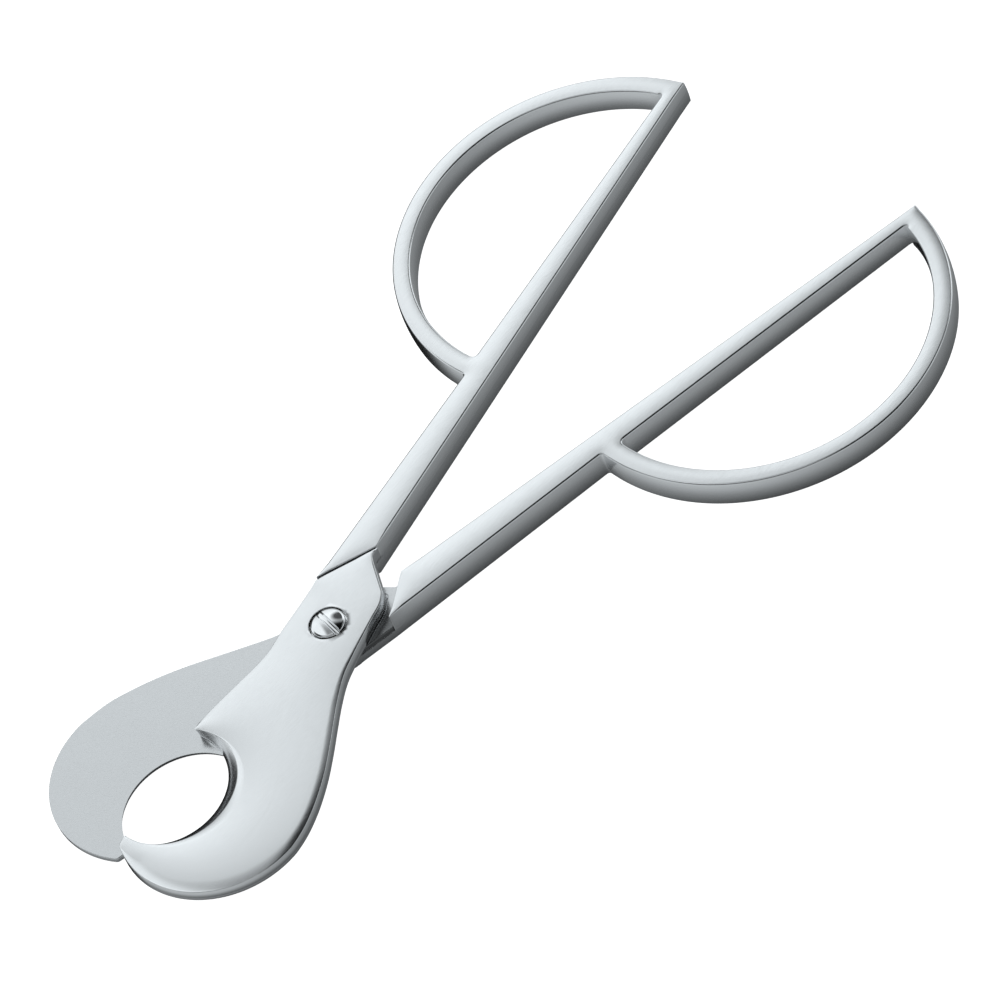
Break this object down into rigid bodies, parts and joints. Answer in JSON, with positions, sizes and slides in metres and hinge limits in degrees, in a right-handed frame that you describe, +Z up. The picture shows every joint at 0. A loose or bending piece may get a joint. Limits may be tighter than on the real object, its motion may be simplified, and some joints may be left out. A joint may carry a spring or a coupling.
{
  "type": "cigar scissors",
  "caption": "Steel cigar scissors with half-round bows, square bars, lapped crescent jaws and a slotted pivot screw.",
  "frame": {"origin": "pivot axis at the flat underside the scissors lie on", "axes": "+Z up along the pivot, +Y from the pivot towards the bows midway between the two halves, +X to the rear handle's side"},
  "size_m": [0.0942, 0.1518, 0.0052],
  "materials": {
    "polished_steel": "polished",
    "satin_steel": "satin",
    "bright_screw": "mirror polished",
    "washer_bronze": "satin"
  },
  "bodies": {
    "rear_half": {"rear_handle": "polished_steel", "rear_blade": "satin_steel", "rear_blade_rivets": "satin_steel", "pivot_bush": "satin_steel", "pivot_screw": "bright_screw", "pivot_washer": "washer_bronze"},
    "front_half": {"front_handle": "polished_steel", "front_jaw": "polished_steel", "front_jaw_pins": "satin_steel"}
  },
  "joints": [
    {"name": "pivot", "type": "hinge", "parent": "rear_half", "child": "front_half", "pos_m": [0, 0, 0], "axis": [0, 0, 1], "range_deg": [-25.4, 64.5]}
  ]
}
